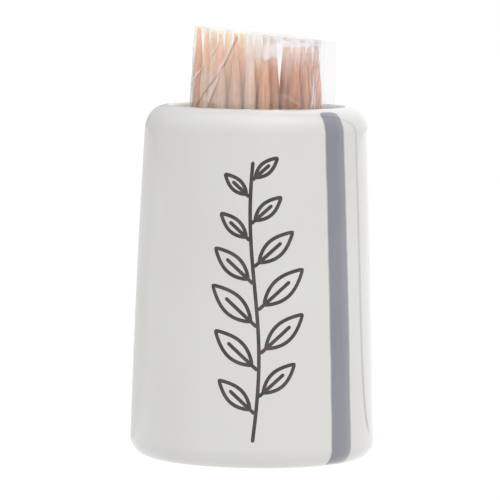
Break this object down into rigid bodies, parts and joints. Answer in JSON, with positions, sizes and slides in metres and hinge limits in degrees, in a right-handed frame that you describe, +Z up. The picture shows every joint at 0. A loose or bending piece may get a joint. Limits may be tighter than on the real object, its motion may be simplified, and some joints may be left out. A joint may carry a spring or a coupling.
{
  "type": "toothpick holder",
  "caption": "Round tapered glazed ceramic tumbler with a rounded lip, holding an open clear film bag of round double-pointed toothpicks.",
  "frame": {"origin": "centre of the foot on the table", "axes": "+Z up, the front with the painted decoration faces -Y, +X is right seen from the front"},
  "size_m": [0.0418, 0.0418, 0.0736],
  "materials": {
    "glazed_body": "glossy off-white glaze with a grey-blue painted stripe",
    "clear_film": "clear creased cellophane film",
    "pick_wood": "bare polished birch, fine straight grain"
  },
  "bodies": {
    "holder": {"holder_body": "glazed_body"},
    "bag": {"film_bag": "clear_film"},
    "pick_01": {"pick_01": "pick_wood"},
    "pick_02": {"pick_02": "pick_wood"},
    "pick_03": {"pick_03": "pick_wood"},
    "pick_04": {"pick_04": "pick_wood"},
    "pick_05": {"pick_05": "pick_wood"},
    "pick_06": {"pick_06": "pick_wood"},
    "pick_07": {"pick_07": "pick_wood"},
    "pick_08": {"pick_08": "pick_wood"},
    "pick_09": {"pick_09": "pick_wood"},
    "pick_10": {"pick_10": "pick_wood"},
    "pick_11": {"pick_11": "pick_wood"},
    "pick_12": {"pick_12": "pick_wood"},
    "pick_13": {"pick_13": "pick_wood"},
    "pick_14": {"pick_14": "pick_wood"},
    "pick_15": {"pick_15": "pick_wood"},
    "pick_16": {"pick_16": "pick_wood"},
    "pick_17": {"pick_17": "pick_wood"},
    "pick_18": {"pick_18": "pick_wood"},
    "pick_19": {"pick_19": "pick_wood"},
    "pick_20": {"pick_20": "pick_wood"},
    "pick_21": {"pick_21": "pick_wood"},
    "pick_22": {"pick_22": "pick_wood"},
    "pick_23": {"pick_23": "pick_wood"},
    "pick_24": {"pick_24": "pick_wood"},
    "pick_25": {"pick_25": "pick_wood"},
    "pick_26": {"pick_26": "pick_wood"},
    "pick_27": {"pick_27": "pick_wood"},
    "pick_28": {"pick_28": "pick_wood"},
    "pick_29": {"pick_29": "pick_wood"},
    "pick_30": {"pick_30": "pick_wood"},
    "pick_31": {"pick_31": "pick_wood"},
    "pick_32": {"pick_32": "pick_wood"},
    "pick_33": {"pick_33": "pick_wood"},
    "pick_34": {"pick_34": "pick_wood"},
    "pick_35": {"pick_35": "pick_wood"},
    "pick_36": {"pick_36": "pick_wood"},
    "pick_37": {"pick_37": "pick_wood"},
    "pick_38": {"pick_38": "pick_wood"},
    "pick_39": {"pick_39": "pick_wood"},
    "pick_40": {"pick_40": "pick_wood"},
    "pick_41": {"pick_41": "pick_wood"},
    "pick_42": {"pick_42": "pick_wood"},
    "pick_43": {"pick_43": "pick_wood"},
    "pick_44": {"pick_44": "pick_wood"},
    "pick_45": {"pick_45": "pick_wood"},
    "pick_46": {"pick_46": "pick_wood"},
    "pick_47": {"pick_47": "pick_wood"}
  },
  "joints": [
    {"name": "bag_lift", "type": "slide", "parent": "holder", "child": "bag", "axis": [0, 0, 1], "range_m": [0, 0.06]},
    {"name": "pick_01_pull", "type": "slide", "parent": "bag", "child": "pick_01", "axis": [0, 0, 1], "range_m": [0, 0.07]},
    {"name": "pick_02_pull", "type": "slide", "parent": "bag", "child": "pick_02", "axis": [0, 0, 1], "range_m": [0, 0.07]},
    {"name": "pick_03_pull", "type": "slide", "parent": "bag", "child": "pick_03", "axis": [0, 0, 1], "range_m": [0, 0.07]},
    {"name": "pick_04_pull", "type": "slide", "parent": "bag", "child": "pick_04", "axis": [0, 0, 1], "range_m": [0, 0.07]},
    {"name": "pick_05_pull", "type": "slide", "parent": "bag", "child": "pick_05", "axis": [0, 0, 1], "range_m": [0, 0.07]},
    {"name": "pick_06_pull", "type": "slide", "parent": "bag", "child": "pick_06", "axis": [0, 0, 1], "range_m": [0, 0.07]},
    {"name": "pick_07_pull", "type": "slide", "parent": "bag", "child": "pick_07", "axis": [0, 0, 1], "range_m": [0, 0.07]},
    {"name": "pick_08_pull", "type": "slide", "parent": "bag", "child": "pick_08", "axis": [0, 0, 1], "range_m": [0, 0.07]},
    {"name": "pick_09_pull", "type": "slide", "parent": "bag", "child": "pick_09", "axis": [0, 0, 1], "range_m": [0, 0.07]},
    {"name": "pick_10_pull", "type": "slide", "parent": "bag", "child": "pick_10", "axis": [0, 0, 1], "range_m": [0, 0.07]},
    {"name": "pick_11_pull", "type": "slide", "parent": "bag", "child": "pick_11", "axis": [0, 0, 1], "range_m": [0, 0.07]},
    {"name": "pick_12_pull", "type": "slide", "parent": "bag", "child": "pick_12", "axis": [0, 0, 1], "range_m": [0, 0.07]},
    {"name": "pick_13_pull", "type": "slide", "parent": "bag", "child": "pick_13", "axis": [0, 0, 1], "range_m": [0, 0.07]},
    {"name": "pick_14_pull", "type": "slide", "parent": "bag", "child": "pick_14", "axis": [0, 0, 1], "range_m": [0, 0.07]},
    {"name": "pick_15_pull", "type": "slide", "parent": "bag", "child": "pick_15", "axis": [0, 0, 1], "range_m": [0, 0.07]},
    {"name": "pick_16_pull", "type": "slide", "parent": "bag", "child": "pick_16", "axis": [0, 0, 1], "range_m": [0, 0.07]},
    {"name": "pick_17_pull", "type": "slide", "parent": "bag", "child": "pick_17", "axis": [0, 0, 1], "range_m": [0, 0.07]},
    {"name": "pick_18_pull", "type": "slide", "parent": "bag", "child": "pick_18", "axis": [0, 0, 1], "range_m": [0, 0.07]},
    {"name": "pick_19_pull", "type": "slide", "parent": "bag", "child": "pick_19", "axis": [0, 0, 1], "range_m": [0, 0.07]},
    {"name": "pick_20_pull", "type": "slide", "parent": "bag", "child": "pick_20", "axis": [0, 0, 1], "range_m": [0, 0.07]},
    {"name": "pick_21_pull", "type": "slide", "parent": "bag", "child": "pick_21", "axis": [0, 0, 1], "range_m": [0, 0.07]},
    {"name": "pick_22_pull", "type": "slide", "parent": "bag", "child": "pick_22", "axis": [0, 0, 1], "range_m": [0, 0.07]},
    {"name": "pick_23_pull", "type": "slide", "parent": "bag", "child": "pick_23", "axis": [0, 0, 1], "range_m": [0, 0.07]},
    {"name": "pick_24_pull", "type": "slide", "parent": "bag", "child": "pick_24", "axis": [0, 0, 1], "range_m": [0, 0.07]},
    {"name": "pick_25_pull", "type": "slide", "parent": "bag", "child": "pick_25", "axis": [0, 0, 1], "range_m": [0, 0.07]},
    {"name": "pick_26_pull", "type": "slide", "parent": "bag", "child": "pick_26", "axis": [0, 0, 1], "range_m": [0, 0.07]},
    {"name": "pick_27_pull", "type": "slide", "parent": "bag", "child": "pick_27", "axis": [0, 0, 1], "range_m": [0, 0.07]},
    {"name": "pick_28_pull", "type": "slide", "parent": "bag", "child": "pick_28", "axis": [0, 0, 1], "range_m": [0, 0.07]},
    {"name": "pick_29_pull", "type": "slide", "parent": "bag", "child": "pick_29", "axis": [0, 0, 1], "range_m": [0, 0.07]},
    {"name": "pick_30_pull", "type": "slide", "parent": "bag", "child": "pick_30", "axis": [0, 0, 1], "range_m": [0, 0.07]},
    {"name": "pick_31_pull", "type": "slide", "parent": "bag", "child": "pick_31", "axis": [0, 0, 1], "range_m": [0, 0.07]},
    {"name": "pick_32_pull", "type": "slide", "parent": "bag", "child": "pick_32", "axis": [0, 0, 1], "range_m": [0, 0.07]},
    {"name": "pick_33_pull", "type": "slide", "parent": "bag", "child": "pick_33", "axis": [0, 0, 1], "range_m": [0, 0.07]},
    {"name": "pick_34_pull", "type": "slide", "parent": "bag", "child": "pick_34", "axis": [0, 0, 1], "range_m": [0, 0.07]},
    {"name": "pick_35_pull", "type": "slide", "parent": "bag", "child": "pick_35", "axis": [0, 0, 1], "range_m": [0, 0.07]},
    {"name": "pick_36_pull", "type": "slide", "parent": "bag", "child": "pick_36", "axis": [0, 0, 1], "range_m": [0, 0.07]},
    {"name": "pick_37_pull", "type": "slide", "parent": "bag", "child": "pick_37", "axis": [0, 0, 1], "range_m": [0, 0.07]},
    {"name": "pick_38_pull", "type": "slide", "parent": "bag", "child": "pick_38", "axis": [0, 0, 1], "range_m": [0, 0.07]},
    {"name": "pick_39_pull", "type": "slide", "parent": "bag", "child": "pick_39", "axis": [0, 0, 1], "range_m": [0, 0.07]},
    {"name": "pick_40_pull", "type": "slide", "parent": "bag", "child": "pick_40", "axis": [0, 0, 1], "range_m": [0, 0.07]},
    {"name": "pick_41_pull", "type": "slide", "parent": "bag", "child": "pick_41", "axis": [0, 0, 1], "range_m": [0, 0.07]},
    {"name": "pick_42_pull", "type": "slide", "parent": "bag", "child": "pick_42", "axis": [0, 0, 1], "range_m": [0, 0.07]},
    {"name": "pick_43_pull", "type": "slide", "parent": "bag", "child": "pick_43", "axis": [0, 0, 1], "range_m": [0, 0.07]},
    {"name": "pick_44_pull", "type": "slide", "parent": "bag", "child": "pick_44", "axis": [0, 0, 1], "range_m": [0, 0.07]},
    {"name": "pick_45_pull", "type": "slide", "parent": "bag", "child": "pick_45", "axis": [0, 0, 1], "range_m": [0, 0.07]},
    {"name": "pick_46_pull", "type": "slide", "parent": "bag", "child": "pick_46", "axis": [0, 0, 1], "range_m": [0, 0.07]},
    {"name": "pick_47_pull", "type": "slide", "parent": "bag", "child": "pick_47", "axis": [0, 0, 1], "range_m": [0, 0.07]}
  ]
}
